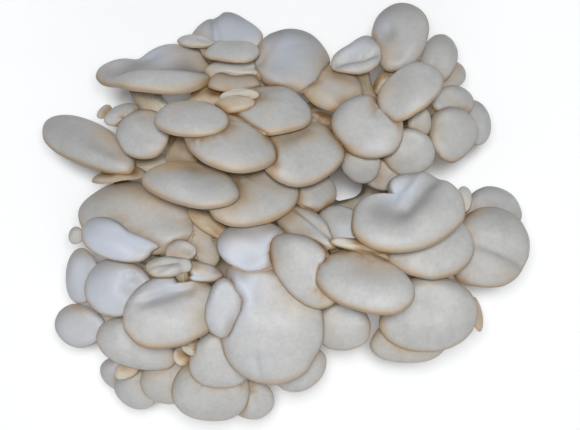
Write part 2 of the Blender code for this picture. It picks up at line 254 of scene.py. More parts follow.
def footFlesh():
    material, tree, shader = makeMaterial("base_flesh")
    places = addNode(tree, "ShaderNodeTexCoord").outputs["Object"]
    upright = addNode(tree, "ShaderNodeMapping", Scale=foot["upright"])  # the grain runs up the fused stems
    tree.links.new(places, upright.inputs["Vector"])
    noises = {name: noiseOf(tree, upright.outputs["Vector"] if name == "grain" else places, *values)
              for name, values in footNoise.items()}
    # darker towards the bottom, in patches
    darkBelow = times(tree, toneOf(tree, "low"), scaled(tree, noises["darkPatches"], foot["darkBelow"]))
    colour = mixColour(tree, scaled(tree, noises["grain"], foot["grained"]), foot["fibre"], foot["tan"])
    colour = mixColour(tree, darkBelow, colour, foot["dark"])
    tree.links.new(colour, shader.inputs["Base Color"])
    shader.inputs["Roughness"].default_value = foot["roughness"]
    tree.links.new(addBump(tree, noises["fine"], *foot["grainBump"]), shader.inputs["Normal"])
    return material


# one mushroom: side runs across the cap, ahead the way it grew, face out of its skin

# a cap's measures are shares of its mean radius, waves are bumps round or across it
growing = dict(bow=0.13, dome=0.085, domeFall=2.5, thick=0.185, rimTurn=6.5, hollow=0.25, hollowTurn=6,
               dipRadius=0.42, wave=3.2, nicks=0.007, nickWave=9.0, liftWave=2.6, liftMore=1.6, liftRise=4,
               rippleWave=4.5, rippleFade=0.6, rippleFall=6)
gills = dict(depth=1.7 * mm, pitch=2.6 * mm, groups=(10, 20), inGroup=4, valley=1.4, begin=(0.03, 0.3),
             end=(1.0, 1.5), shortEnd=(0.45, 0.62), mostOfSpacing=1.1, mostOfFlesh=0.3, darkFrom=0.5)
stem = dict(share=0.15, least=2.4 * mm, most=10 * mm, flare=0.9, flareReach=1.3, keepIn=0.5, widens=0.5,
            footSink=4 * mm, straight=0.5, arrives=0.30, rootFrom=0.75, rootSpread=0.25, lookAhead=0.01,
            ribs=0.045, ribWave=9.0, ribsFade=3)
# how many rings a big cap and a small one have, and how they crowd towards the rim
rings = dict(bigCap=22 * mm, skin=(24, 16), skinCrowding=2.3, gills=(11, 8), gillCrowding=1.6, gillsTo=0.5,
             join=7, leave=4, arrive=2.5, stem=(12, 9), stemFrom=0.2, crown=1e-6)
# tones by how far out on the cap they start, from 0 at its stem to 1 at its rim
# some tones are painted shade: each cap darker on the side turned from the light, and its lower rims browner
toning = dict(turnedAwayShade=0.62, turnedAwayShadeFrom=0.45, turnedAwaySide=np.array((-0.35, 0.93, 0.0)),
              rimShadeSide=np.array((-0.2, -0.98, 0.0)), rimShadeSpan=(-0.3, 0.7), tanLeast=0.4, rimShadeMore=0.8,
              rimFrom=0.88, rimUnder=0.5, edgeFrom=0.955, edgeFromUnder=0.97, edgeMore=0.2,
              joinShares=(0.5, 0.2), stemShare=0.15, roundStem=1.5, alongSkin=0.25, apart=0.37, kinds=97)
# lobes and swells: degrees round the rim, amount, degrees wide;  curls: degrees round the rim, amount
# dents: side, front, depth, radius;  folds: side and front of one end and of the other, depth, width
# soft patches, each side, front, radius, amount: tan ones part flesh colour, part painted warm shade near
# neighbours; cool ones painted sky light; grey ones painted shade in hollows
plainCap = dict(taper=0.12, dip=0.10, back=0.55, aside=0.0, lobes=(), swells=(), curls=(), dents=(), folds=(),
                tans=(), coolLights=(), greyShades=(), warm=0.05, coolLight=0.0, grey=0.0, pale=0.0,
                wavy=0.024, ripple=0.026, stemLeaves=0.38, rank=0, shaded=1.0)
waving = dict(count=7, paces=(0.6, 1.6), starts=(0, 6.28))


def smoothStep(values, low, high):
    share = np.minimum(1.0, np.maximum(0.0, (values - low) / (high - low)))
    return share * share * (3 - 2 * share)


def softWaves(points, scale, seed):  # smooth bumps, mostly between -1 and 1
    dice = np.random.RandomState(seed)
    total = 0
    for _ in range(waving["count"]):
        way = dice.normal(size=points.shape[-1])
        way /= np.linalg.norm(way)
        total = total + np.sin(points @ way * scale * dice.uniform(*waving["paces"])
                               + dice.uniform(*waving["starts"]))
    return total / math.sqrt(waving["count"])


def capAxes(form):
    leanTo, lean, heading = (math.radians(form[key]) for key in ("leanTo", "lean", "heading"))
    face = np.array((math.sin(lean) * math.cos(leanTo), math.sin(lean) * math.sin(leanTo), math.cos(lean)))
    ahead = np.array((math.cos(heading), math.sin(heading), 0.0))
    ahead[2] = -(face[0] * ahead[0] + face[1] * ahead[1]) / face[2]
    ahead /= np.linalg.norm(ahead)
    return np.cross(ahead, face), ahead, face


def wrapped(angle):
    return np.angle(np.exp(1j * angle))


def outline(form, theta):  # the rim seen square on, for a cap two units wide and long
    swell = 1.0 + 0.0 * theta
    for degrees, amount, width in (*form["lobes"], *form["swells"]):
        swell = swell + amount * np.exp(-(wrapped(theta - math.radians(degrees)) / math.radians(width)) ** 2)
    return np.cos(theta) * (1 + form["taper"] * np.sin(theta)) * swell, np.sin(theta) * swell


def faceHeight(form, u, v):
    height = growing["bow"] * (1 - u * u - v * v)
    fromStem = (u - form["aside"]) ** 2 + (v + form["back"]) ** 2
    height = height - form["dip"] * np.exp(-fromStem / growing["dipRadius"] ** 2)
    for side, front, depth, radius in form["dents"]:
        height = height - depth * np.exp(-((u - side) ** 2 + (v - front) ** 2) / radius ** 2)
    for degrees, amount in form["curls"]:
        towards = u * math.cos(math.radians(degrees)) + v * math.sin(math.radians(degrees))
        height = height - amount * np.clip(towards, 0, None) ** 2
    for side, front, farSide, farFront, depth, width in form["folds"]:  # a negative depth makes a ridge
        run = np.array((farSide - side, farFront - front))
        share = np.clip(((u - side) * run[0] + (v - front) * run[1]) / (run @ run), 0, 1)
        off = (u - side - share * run[0]) ** 2 + (v - front - share * run[1]) ** 2
        height = height - depth * np.exp(-off / width ** 2)
    return height


def patches(spots, u, v):
    total = np.zeros(np.shape(u))
    for side, front, radius, amount in spots:
        total = total + amount * np.exp(-((u - side) ** 2 + (v - front) ** 2) / radius ** 2)
    return np.clip(total, 0, 1)


def readVertices(mesh, key="co"):
    values = np.empty(len(mesh.vertices) * 3, np.float32)
    mesh.vertices.foreach_get(key, values)
    return values.reshape(-1, 3)


def cornersAndSides(mesh):
    return [tuple(v.co) for v in mesh.vertices], [tuple(p.vertices) for p in mesh.polygons]


measuring = dict(firstDepth=30 * mm, rounds=6, depthShare=0.62, directions=12, touch=1 * mm, slack=0.3 * mm)
baseSurface = BVHTree.FromPolygons(*cornersAndSides(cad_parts["stem_base"].data))


def measureCap(node, form):  # the solid's cap, measured across, along and square to its face
    side, ahead, face = capAxes(form)
    form = dict(form, dents=(), folds=(), swells=())
    points = readVertices(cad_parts[node].data).astype(float)
    across, along, height = points @ side, points @ ahead, points @ face
    turns = np.arange(measuring["directions"]) * math.pi / (measuring["directions"] / 2)
    unitX, unitY = outline(form, turns)
    depth = measuring["firstDepth"]
    for _ in range(measuring["rounds"]):
        skinOnly = height > height.max() - depth
        x, y, h = across[skinOnly], along[skinOnly], height[skinOnly]
        halfX = (x.max() - x.min()) / (unitX.max() - unitX.min())
        halfY = (y.max() - y.min()) / (unitY.max() - unitY.min())
        size = (halfX + halfY) / 2
        depth = measuring["depthShare"] * size
    middleX = (x.max() + x.min()) / 2 - halfX * (unitX.max() + unitX.min()) / 2
    middleY = (y.max() + y.min()) / 2 - halfY * (unitY.max() + unitY.min()) / 2
    level = (h[x.argmax()] + h[x.argmin()]) / 2
    level -= size * (faceHeight(form, 1.0, 0.0) + faceHeight(form, -1.0, 0.0)) / 2
    return side * middleX + ahead * middleY + face * level, halfX, halfY


def findFoot(node):  # where the solid stands on the base, and the way out of the base there
    points = readVertices(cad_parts[node].data).astype(float)
    gaps = np.array([baseSurface.find_nearest(Vector(point))[3] for point in points])
    place = points[gaps < max(measuring["touch"], gaps.min() + measuring["slack"])].mean(axis=0)
    return place, np.array(baseSurface.find_nearest(Vector(place))[1])


def onCurve(path, share):
    a, b, c, d = path
    rest = 1 - share
    return a * rest ** 3 + 3 * b * rest ** 2 * share + 3 * c * rest * share ** 2 + d * share ** 3


def stemPath(form, place, halfX, halfY, stand):  # a curve from under the cap into the base
    side, ahead, face = capAxes(form)
    size = (halfX + halfY) / 2
    height = faceHeight(form, form["aside"], -form["back"]) + growing["thick"] * growing["hollow"]
    start = place + side * form["aside"] * halfX - ahead * form["back"] * halfY + face * height * size
    footPlace, footOut = stand
    end = footPlace - footOut * stem["footSink"]
    length = np.linalg.norm(start - end)
    arrive = footOut * stem["straight"] + (start - end) / length * (1 - stem["straight"])
    return start, start - face * form["stemLeaves"] * length, end + arrive * stem["arrives"] * length, end


def stemRings(path, spokes, reach, radius, shares, heading):
    length = np.linalg.norm(path[0] - path[3])
    made = []
    for share in shares:
        step = onCurve(path, min(1.0, share + stem["lookAhead"]))
        step = step - onCurve(path, max(0.0, share - stem["lookAhead"]))
        step /= np.linalg.norm(step)
        turn = np.array(Vector(heading).rotation_difference(Vector(step)).to_matrix())
        spokes = spokes @ turn.T
        heading = step
        wide = radius * (1 + stem["flare"] * math.exp(-share * length / (stem["flareReach"] * radius)))
        rooted = max(0.0, (share - stem["rootFrom"]) / (1 - stem["rootFrom"]))
        wide *= 1 + stem["rootSpread"] * rooted ** 2  # runs out into the base
        wide = np.minimum(wide, reach + share * length * stem["widens"])
        made.append(onCurve(path, share) + spokes * wide[:, None])
    return np.array(made)


def smoothJoin(first, last, leave, arrive, count):  # rings between two rings, leaving and arriving smoothly
    made = []
    for step in range(1, count):
        t = step / count
        made.append(first * (2 * t ** 3 - 3 * t ** 2 + 1) + leave * (t ** 3 - 2 * t ** 2 + t)
                    + last * (3 * t ** 2 - 2 * t ** 3) + arrive * (t ** 3 - t ** 2))
    return np.array(made)


def gridNormals(grid):
    along = np.gradient(grid, axis=0)
    around = np.roll(grid, -1, axis=1) - np.roll(grid, 1, axis=1)
    normals = np.cross(along, around)
    return normals / np.maximum(np.linalg.norm(normals, axis=2, keepdims=True), smallest)


def gridMesh(name, grid, crown, values, vectors):  # closed by the crown on top and a point in the base
    count, around = grid.shape[:2]
    points = np.concatenate([crown[None], grid.reshape(-1, 3), grid[-1].mean(axis=0)[None]])
    index = 1 + np.arange(count * around).reshape(count, around)
    nextOne = np.roll(index, -1, axis=1)
    quads = np.stack([index[:-1], index[1:], nextOne[1:], nextOne[:-1]], axis=-1).reshape(-1, 4)
    last = len(points) - 1
    faces = [(0, a, b) for a, b in zip(index[0], nextOne[0])]
    faces += quads.tolist()
    faces += [(last, b, a) for a, b in zip(index[-1], nextOne[-1])]
    mesh = bpy.data.meshes.new(name)
    mesh.from_pydata(points.tolist(), [], faces)
    for key, value in values.items():
        layer = mesh.attributes.new(key, "FLOAT", "POINT")
        ends = value[0].mean(keepdims=True), value[-1].mean(keepdims=True)
        full = np.concatenate([ends[0], value.reshape(-1), ends[1]])
        layer.data.foreach_set("value", full.astype(np.float32))
    for key, value in vectors.items():
        layer = mesh.attributes.new(key, "FLOAT_VECTOR", "POINT")
        full = np.concatenate([[value[0].mean(axis=0)], value.reshape(-1, 3), [value[-1].mean(axis=0)]])
        layer.data.foreach_set("vector", full.astype(np.float32).ravel())
    mesh.shade_smooth()
    return mesh


pressing = dict(deepest=18 * mm, spread=6, fade=7, squeeze=0.6)
gridShapes = {}
canopy = dict(points=[], faces=[])  # all the mushrooms together
standing = {}  # finished mushrooms, for the next ones to press against: lowest and highest corner, surface


def nearTo(points, margin, skip=""):
    low, high = points.min(axis=0) - margin, points.max(axis=0) + margin
    for name, (otherLow, otherHigh, surface) in standing.items():
        if name != skip and np.all(low < otherHigh) and np.all(high > otherLow):
            inside = np.all((points > otherLow - margin) & (points < otherHigh + margin), axis=1)
            yield surface, np.nonzero(inside)[0]


def evened(grid, rounds):
    for _ in range(rounds):
        along = grid.copy()
        along[1:-1] = (grid[:-2] + grid[2:]) / 2
        grid = (grid * 2 + np.roll(grid, 1, axis=1) + np.roll(grid, -1, axis=1) + along) / 5
    return grid


def pressIn(points, normals):  # what would reach into a finished neighbour sinks back until it is clear
    moved = np.zeros(len(points))
    for surface, inside in nearTo(points, 0.0):
        for i in inside:
            inward = Vector(-normals[i])
            place, normal, _, gap = surface.ray_cast(Vector(points[i]), inward, pressing["deepest"])
            if place is not None and normal.dot(inward) > 0:
                moved[i] = max(moved[i], gap)
    return moved


def pressSoftly(grid, normals):  # the dent spreads a little into the flesh around it
    moved = pressIn(grid.reshape(-1, 3), normals.reshape(-1, 3)).reshape(grid.shape[:2])
    return np.maximum(moved, evened(moved, pressing["spread"]))


def bendUnder(grid, topCount, gillCount, shares):  # where the skin is pressed down the gills go down with it
    normals = gridNormals(grid)
    grid = grid.copy()
    sunk = -normals[:topCount] * pressSoftly(grid[:topCount], normals[:topCount])[:, :, None]
    flat = grid[:topCount].copy()
    grid[:topCount] += sunk
    gillEnd = topCount + gillCount
    place = np.interp(shares[topCount:gillEnd], shares[:topCount], np.arange(topCount))
    low = np.minimum(place.astype(int), topCount - 2)
    share = (place - low)[:, None, None]
    follow = sunk[low] * (1 - share) + sunk[low + 1] * share
    above = flat[low] * (1 - share) + flat[low + 1] * share + follow
    grid[topCount:gillEnd] += follow
    fading = 1 - np.arange(1, len(grid) - gillEnd + 1) / pressing["fade"]
    grid[gillEnd:] += follow[-1] * np.clip(fading, 0, 1)[:, None, None]
    normals = gridNormals(grid)
    moved = pressSoftly(grid[topCount:], normals[topCount:])
    thick = np.linalg.norm(above - grid[topCount:gillEnd], axis=2)
    radius = np.linalg.norm(grid[gillEnd:] - grid[gillEnd:].mean(axis=1, keepdims=True), axis=2)
    thick = np.concatenate([thick, radius])
    moved = np.minimum(moved, thick * pressing["squeeze"])
    grid[topCount:] -= normals[topCount:] * moved[:, :, None]
    return grid, np.concatenate([np.zeros(grid[:topCount].shape[:2]), thick - moved])


def planCap(name, form, place, halfX, halfY):  # what all the rings of one mushroom share
    seed = zlib.crc32(name.encode())
    side, ahead, face = capAxes(form)
    size = (halfX + halfY) / 2
    groups = int(np.clip(math.pi * 2 * size / gills["pitch"] / gills["inGroup"], *gills["groups"]))
    around = groups * gills["inGroup"] * 2  # a ridge and a valley for each gill
    theta = np.arange(around) * 2 * math.pi / around
    rimX, rimY = outline(form, theta)
    turnPoint = np.stack([np.cos(theta), np.sin(theta)], axis=1)
    wave = softWaves(turnPoint, growing["wave"], seed) * form["wavy"]
    wave = wave + softWaves(turnPoint, growing["nickWave"], seed + 5) * growing["nicks"]
    lift = softWaves(turnPoint, growing["liftWave"], seed + 1) * form["wavy"] * growing["liftMore"]
    rim = np.stack([rimX * (1 + wave), rimY * (1 + wave)], axis=1)
    return dict(form=form, seed=seed, place=place, halfX=halfX, halfY=halfY, size=size, side=side,
                ahead=ahead, face=face, around=around, turnPoint=turnPoint, lift=lift, rim=rim,
                root=np.array((form["aside"], -form["back"])))


def capRing(plan, t, upper):  # t runs from the stem to the rim
    form, root = plan["form"], plan["root"]
    flat = root + (plan["rim"] - root) * t
    height = faceHeight(form, flat[:, 0], flat[:, 1]) + plan["lift"] * t ** growing["liftRise"]
    ripple = form["ripple"] * softWaves(flat, growing["rippleWave"], plan["seed"] + 2)
    height = height + ripple * (1 - growing["rippleFade"] * t ** growing["rippleFall"])
    if upper:
        rise = growing["thick"] * math.sqrt(max(0.0, 1 - t ** growing["rimTurn"]))
        rise = rise + growing["dome"] * (1 - t ** growing["domeFall"])
    else:
        inward = 1 - t * t
        hollow = inward - math.sqrt(max(0.0, inward)) * t ** growing["hollowTurn"]
        rise = growing["thick"] * growing["hollow"] * hollow
    height = (height + rise) * plan["size"]
    return (plan["place"] + np.outer(flat[:, 0] * plan["halfX"], plan["side"])
            + np.outer(flat[:, 1] * plan["halfY"], plan["ahead"]) + np.outer(height, plan["face"]))


def growBody(plan, stand):  # skin, underside, join and stem, and how far out on the cap each ring lies
    which = 0 if plan["size"] > rings["bigCap"] else 1
    skinCount, gillCount, stemCount = (rings[key][which] for key in ("skin", "gills", "stem"))
    tops = 1 - (1 - np.arange(1, skinCount + 1) / skinCount) ** rings["skinCrowding"]
    unders = 1 - rings["gillsTo"] * (np.arange(1, gillCount + 1) / gillCount) ** rings["gillCrowding"]
    skinRings = np.array([capRing(plan, t, True) for t in tops])
    gillRings = np.array([capRing(plan, t, False) for t in unders])
    radius = min(stem["most"], stem["least"] + stem["share"] * plan["size"])
    away = (plan["rim"] - plan["root"]) * (plan["halfX"], plan["halfY"])
    reach = np.linalg.norm(away, axis=1) * stem["keepIn"]
    spokes = away / np.linalg.norm(away, axis=1, keepdims=True)
    spokes = np.outer(spokes[:, 0], plan["side"]) + np.outer(spokes[:, 1], plan["ahead"])
    path = stemPath(plan["form"], plan["place"], plan["halfX"], plan["halfY"], stand)
    shares = np.linspace(rings["stemFrom"], 1.0, stemCount)
    stalk = stemRings(path, spokes, reach, radius, shares, -plan["face"])
    leaving = (gillRings[-1] - gillRings[-2]) * rings["leave"]
    arriving = (stalk[1] - stalk[0]) * rings["arrive"]
    join = smoothJoin(gillRings[-1], stalk[0], leaving, arriving, rings["join"])
    grid = np.concatenate([skinRings, gillRings, join, stalk])
    inside = np.linspace(*toning["joinShares"], len(join)), np.full(len(stalk), toning["stemShare"])
    return grid, np.concatenate([tops, unders, *inside]), (len(tops), len(unders), len(join)), radius


def keepStanding(name, grid, crown):
    surface = gridMesh(name + "_smooth", grid, crown, {}, {})
    corners, sides = cornersAndSides(surface)
    standing[name] = (grid.min(axis=(0, 1)), grid.max(axis=(0, 1)), BVHTree.FromPolygons(corners, sides))
    start = len(canopy["points"])
    canopy["points"] += corners
    canopy["faces"] += [tuple(start + i for i in side) for side in sides]
    bpy.data.meshes.remove(surface)


def growMushroom(name, form, flesh, place, halfX, halfY, stand):
    plan = planCap(name, form, place, halfX, halfY)
    grid, share, (topCount, gillCount, joinCount), radius = growBody(plan, stand)
    crown = capRing(plan, rings["crown"], True).mean(axis=0)
    count, around = grid.shape[:2]
    gridShapes[name] = (count, around)
    grid, fleshLeft = bendUnder(grid, topCount, gillCount, share)
    normals = gridNormals(grid)
    keepStanding(name, grid, crown)

    # gill blades: every second one stops half way in
    toStem = np.clip((np.arange(count) - topCount + 1) / (gillCount + joinCount), 0, None)
    depth = smoothStep(toStem, *gills["begin"]) * (1 - smoothStep(toStem, *gills["end"]))
    spacing = np.linalg.norm(np.roll(grid, -1, axis=1) - grid, axis=2).mean(axis=1) * 2
    depth = (depth * np.minimum(gills["depth"], gills["mostOfSpacing"] * spacing))[:, None]
    depth = np.minimum(depth, fleshLeft * gills["mostOfFlesh"])
    blade = np.where(np.arange(around) % 2 == 0, 0.0, -gills["valley"])
    short = np.arange(around) % 4 == 2
    fade = 1 - smoothStep(toStem, *gills["shortEnd"])
    shortBlade = -gills["valley"] + gills["valley"] * fade
    blades = np.where(short[None, :], shortBlade[:, None], blade[None, :])
    grid = grid + normals * (depth * blades)[:, :, None]

    # stems are ribbed along their length
    stalk = smoothStep(np.arange(count) - topCount - gillCount, 0, joinCount + stem["ribsFade"])
    ribs = softWaves(plan["turnPoint"], stem["ribWave"], plan["seed"] + 3) * stem["ribs"] * radius
    grid = grid + normals * (stalk[:, None] * ribs[None, :])[:, :, None]

    values = toneMushroom(plan, share, topCount, depth, blades, stalk)
    growth = np.empty((count, around, 3))  # round the stem and along the skin, so streaks run outwards
    growth[:, :, :2] = plan["turnPoint"][None] * toning["roundStem"]
    along = np.concatenate([share[:topCount], 2 - share[topCount:]])
    growth[:, :, 2] = along[:, None] * toning["alongSkin"]
    growth += (plan["seed"] % toning["kinds"]) * toning["apart"]  # mushrooms don't share their streaks
    mesh = gridMesh(name, grid, crown, values, dict(growth=growth))
    mesh.materials.append(flesh)
    return addObject(name + "_flesh", mesh)


def toneMushroom(plan, share, topCount, depth, blades, stalk):
    form, rim, root = plan["form"], plan["rim"], plan["root"]
    upper = (np.arange(len(share)) < topCount)[:, None]
    everywhere = np.ones((len(share), plan["around"]))
    u = root[0] + (rim[:, 0] - root[0]) * share[:, None]
    v = root[1] + (rim[:, 1] - root[1]) * share[:, None]
    rimDirection = np.outer(rim[:, 0], plan["side"]) + np.outer(rim[:, 1], plan["ahead"])
    facingAway = np.clip(rimDirection @ toning["turnedAwaySide"], 0, 1)  # painted shade: the side turned away from the light is darkest
    turnedAwayShading = smoothStep(share, toning["turnedAwayShadeFrom"], 1.0)[:, None] * facingAway * toning["turnedAwayShade"]
    onRimShadeSide = smoothStep(rimDirection @ toning["rimShadeSide"], *toning["rimShadeSpan"])
    rimTanAndShade = toning["tanLeast"] + toning["rimShadeMore"] * onRimShadeSide  # tan rims all round, with painted shade making the lower ones browner
    nearRim, onEdge, onEdgeUnder = (smoothStep(share, toning[key], 1.0)[:, None]
                                    for key in ("rimFrom", "edgeFrom", "edgeFromUnder"))
    # painted shade: gill furrows are darker the deeper they run
    dark = np.minimum(1.0, depth / (gills["darkFrom"] * gills["depth"]))
    return dict(furrowShade=-blades * dark / gills["valley"],
                gill=np.where(upper, 0.0, 1.0) * everywhere,
                stalk=np.maximum(stalk[:, None], form["pale"]) * everywhere,
                rim=np.clip(nearRim * np.where(upper, 1.0, toning["rimUnder"]) * rimTanAndShade, 0, 1),
                edge=onEdge * np.minimum(1.0, rimTanAndShade + toning["edgeMore"])
                * np.where(upper, 1.0, onEdgeUnder),
                warm=np.clip(form["warm"] + patches(form["tans"], u, v), 0, 1),
                # painted bluish sky light
                coolLight=np.clip(form["coolLight"] + patches(form["coolLights"], u, v), 0, 1),
                grey=np.clip(form["grey"] + patches(form["greyShades"], u, v) + turnedAwayShading * upper, 0, 1))


# painted shade: how much the skin is darkened where other mushrooms crowd, touch and overhang it
shading = dict(reach=18 * mm, crowdFall=1.2, seamShade=8 * mm, seamShadeFall=1.3, touch=0.3 * mm, ahead=(-0.4, 0.2),
               facing=(-0.5, 0.4), upward=0.05, clear=2 * mm, overhang=40 * mm, slants=8, slantOut=0.62,
               slantUp=0.78, crowdMost=0.62, crowdHidden=(0.08, 0.7), seamShadeHidden=(0.3, 0.85), even=3)


def slantWays():  # slanting lines up from the flesh, all round
    turns = np.arange(shading["slants"]) * math.pi / (shading["slants"] / 2)
    return [Vector((shading["slantOut"] * math.cos(turn), shading["slantOut"] * math.sin(turn),
                    shading["slantUp"])) for turn in turns]


def paintNeighbourShade(name, mesh, roof, ways):  # painted shade: tan where other mushrooms cover the skin, brown where they touch it
    shaded = forms[name]["shaded"]
    points, normals = readVertices(mesh), readVertices(mesh, "normal")
    crowd, seamShade = np.zeros(len(points), np.float32), np.zeros(len(points), np.float32)
    for surface, near in nearTo(points, shading["reach"], name):
        for i in near:
            place, normal, _, gap = surface.find_nearest(Vector(points[i]), shading["reach"])
            if place is None:
                continue
            mine = Vector(normals[i])
            ahead = 1.0
            if gap >= shading["touch"]:
                ahead = smoothStep((place - Vector(points[i])).dot(mine) / gap, *shading["ahead"])
            covered = ahead * smoothStep(-normal.dot(mine), *shading["facing"]) * shaded
            crowd[i] = max(crowd[i], covered * (1 - gap / shading["reach"]) ** shading["crowdFall"])
            seamShade[i] = max(seamShade[i], covered * (1 - min(1.0, gap / shading["seamShade"])) ** shading["seamShadeFall"])
    for i in np.nonzero(normals[:, 2] > shading["upward"])[0]:  # painted shade: flesh that others overhang is painted browner, as if in their shadow
        start = Vector(points[i] + normals[i] * shading["clear"])
        hits = sum(roof.ray_cast(start, way, shading["overhang"])[0] is not None for way in ways)
        hidden = hits / len(ways) * shaded
        crowd[i] = max(crowd[i], shading["crowdMost"] * smoothStep(hidden, *shading["crowdHidden"]))
        seamShade[i] = max(seamShade[i], smoothStep(hidden, *shading["seamShadeHidden"]))
    for key, values in (("crowd", crowd), ("seamShade", seamShade)):
        values[1:-1] = evened(values[1:-1].reshape(gridShapes[name]), shading["even"]).ravel()
        mesh.attributes.new(key, "FLOAT", "POINT").data.foreach_set("value", values)


upperLeft = {
    "01": dict(heading=-90, leanTo=95, lean=55, dip=0, back=0.25, aside=0.3, stemLeaves=0.75, shaded=0.6,
               lobes=[(-120, 0.08, 35), (-30, -0.12, 30)], curls=[(-90, 0.05)],
               dents=[(0.18, -0.5, 0.24, 0.35)],
               swells=[(-58, -0.20, 26), (-8, 0.10, 14), (40, -0.10, 25), (114, 0.17, 36), (-110, 0.12, 16)],
               folds=[(0.55, 0.08, -0.7, 0.08, 0.28, 0.40)], coolLights=[(-0.1, -0.45, 0.5, 0.9)],
               greyShades=[(-0.5, 0.02, 0.3, 0.7), (0.3, -0.05, 0.3, 0.6), (0.75, 0.2, 0.3, 0.3)]),
    "02": dict(heading=90, leanTo=90, lean=25, taper=-0.4, back=0.3, grey=0.3, coolLight=0.8, shaded=0.4,
               curls=[(0, -0.3), (180, -0.3)], lobes=[(116, -0.10, 9)],
               folds=[(-0.43, 0.85, -0.33, -0.3, 0.16, 0.12)]),
    "03": dict(heading=-110, leanTo=95, lean=58),
    "04": dict(heading=20, leanTo=80, lean=30, grey=0.36, shaded=0.6, coolLights=[(-0.3, -0.2, 0.7, 1.0)],
               folds=[(-0.8, 0.0, -0.2, -0.8, 0.08, 0.14), (-0.3, -0.1, -0.26, 0.4, 0.025, 0.12)]),
    "05": dict(heading=-100, leanTo=90, lean=60, warm=0.5),
    "06": dict(heading=-90, leanTo=90, lean=48, folds=[(0.62, -0.12, -0.18, -0.12, 0.05, 0.13)],
               greyShades=[(0.3, -0.2, 0.35, 0.4)]),
    "07": dict(heading=-115, leanTo=95, lean=55, tans=[(0.6, -0.6, 0.6, 0.6)]),
    "08": dict(heading=-30, leanTo=85, lean=48, lobes=[(116, 0.03, 10)], tans=[(-0.6, -0.9, 0.5, 0.5)]),
    "09": dict(heading=-130, leanTo=120, lean=30, tans=[(0.2, -0.9, 0.5, 0.6)]),
    "10": dict(heading=150, leanTo=110, lean=48, tans=[(0.5, -0.7, 0.5, 0.5)], greyShades=[(-0.1, 0.1, 0.5, 0.2)]),
    "11": dict(heading=-120, leanTo=90, lean=52,
               tans=[(0.75, -0.4, 0.5, 1.0), (0.4, -0.75, 0.5, 1.0), (0.0, -0.85, 0.45, 1.0),
                     (-0.43, -0.75, 0.45, 1.0)]),
    "12": dict(heading=-80, leanTo=100, lean=40, warm=0.4),
    "13": dict(heading=-45, leanTo=75, lean=42, folds=[(0.86, 0.66, 0.95, 0.8, 0.06, 0.03)]),
    "14": dict(heading=-55, leanTo=80, lean=38, tans=[(0.3, -0.7, 0.6, 0.6)]),
    "15": dict(heading=-40, leanTo=60, lean=35),
    "16": dict(heading=-120, leanTo=90, lean=35, tans=[(0.4, 0.6, 0.5, 0.5)]),
}
upperRight = {
    "01": dict(heading=80, leanTo=110, lean=25, grey=0.22, shaded=0.6, lobes=[(-110, 0.06, 15)],
               dents=[(-0.36, -0.05, 0.20, 0.28)], coolLights=[(-0.8, 0.1, 0.5, 0.9)],
               greyShades=[(-0.36, -0.05, 0.3, 0.3)]),
    "02": dict(heading=140, leanTo=90, lean=40, dip=0.2, back=0.2, folds=[(-0.7, 0.3, 0.4, -0.3, 0.34, 0.30)],
               swells=[(38, 0.28, 18), (84, -0.15, 22)], coolLights=[(0.2, 0.6, 0.5, 0.9)]),
    "03": dict(heading=70, leanTo=60, lean=35),
    "04": dict(heading=40, leanTo=30, lean=35),
    "05": dict(heading=10, leanTo=45, lean=30),
    "06": dict(heading=-10, leanTo=20, lean=35, coolLight=0.2),
    "07": dict(heading=-45, leanTo=20, lean=22, lobes=[(90, -0.09, 35)]),
    "08": dict(heading=-45, leanTo=125, lean=40, tans=[(0.6, -0.6, 0.5, 0.5)]),
    "09": dict(heading=-120, leanTo=110, lean=22, shaded=0.7, folds=[(0.28, -1.0, -0.06, -0.4, 0.10, 0.16)]),
    "10": dict(heading=-90, leanTo=0, lean=15, warm=0.3),
    "11": dict(heading=-90, leanTo=-90, lean=10),
    "12": dict(heading=-120, leanTo=-120, lean=20),
    "13": dict(heading=-90, leanTo=-90, lean=15),
}
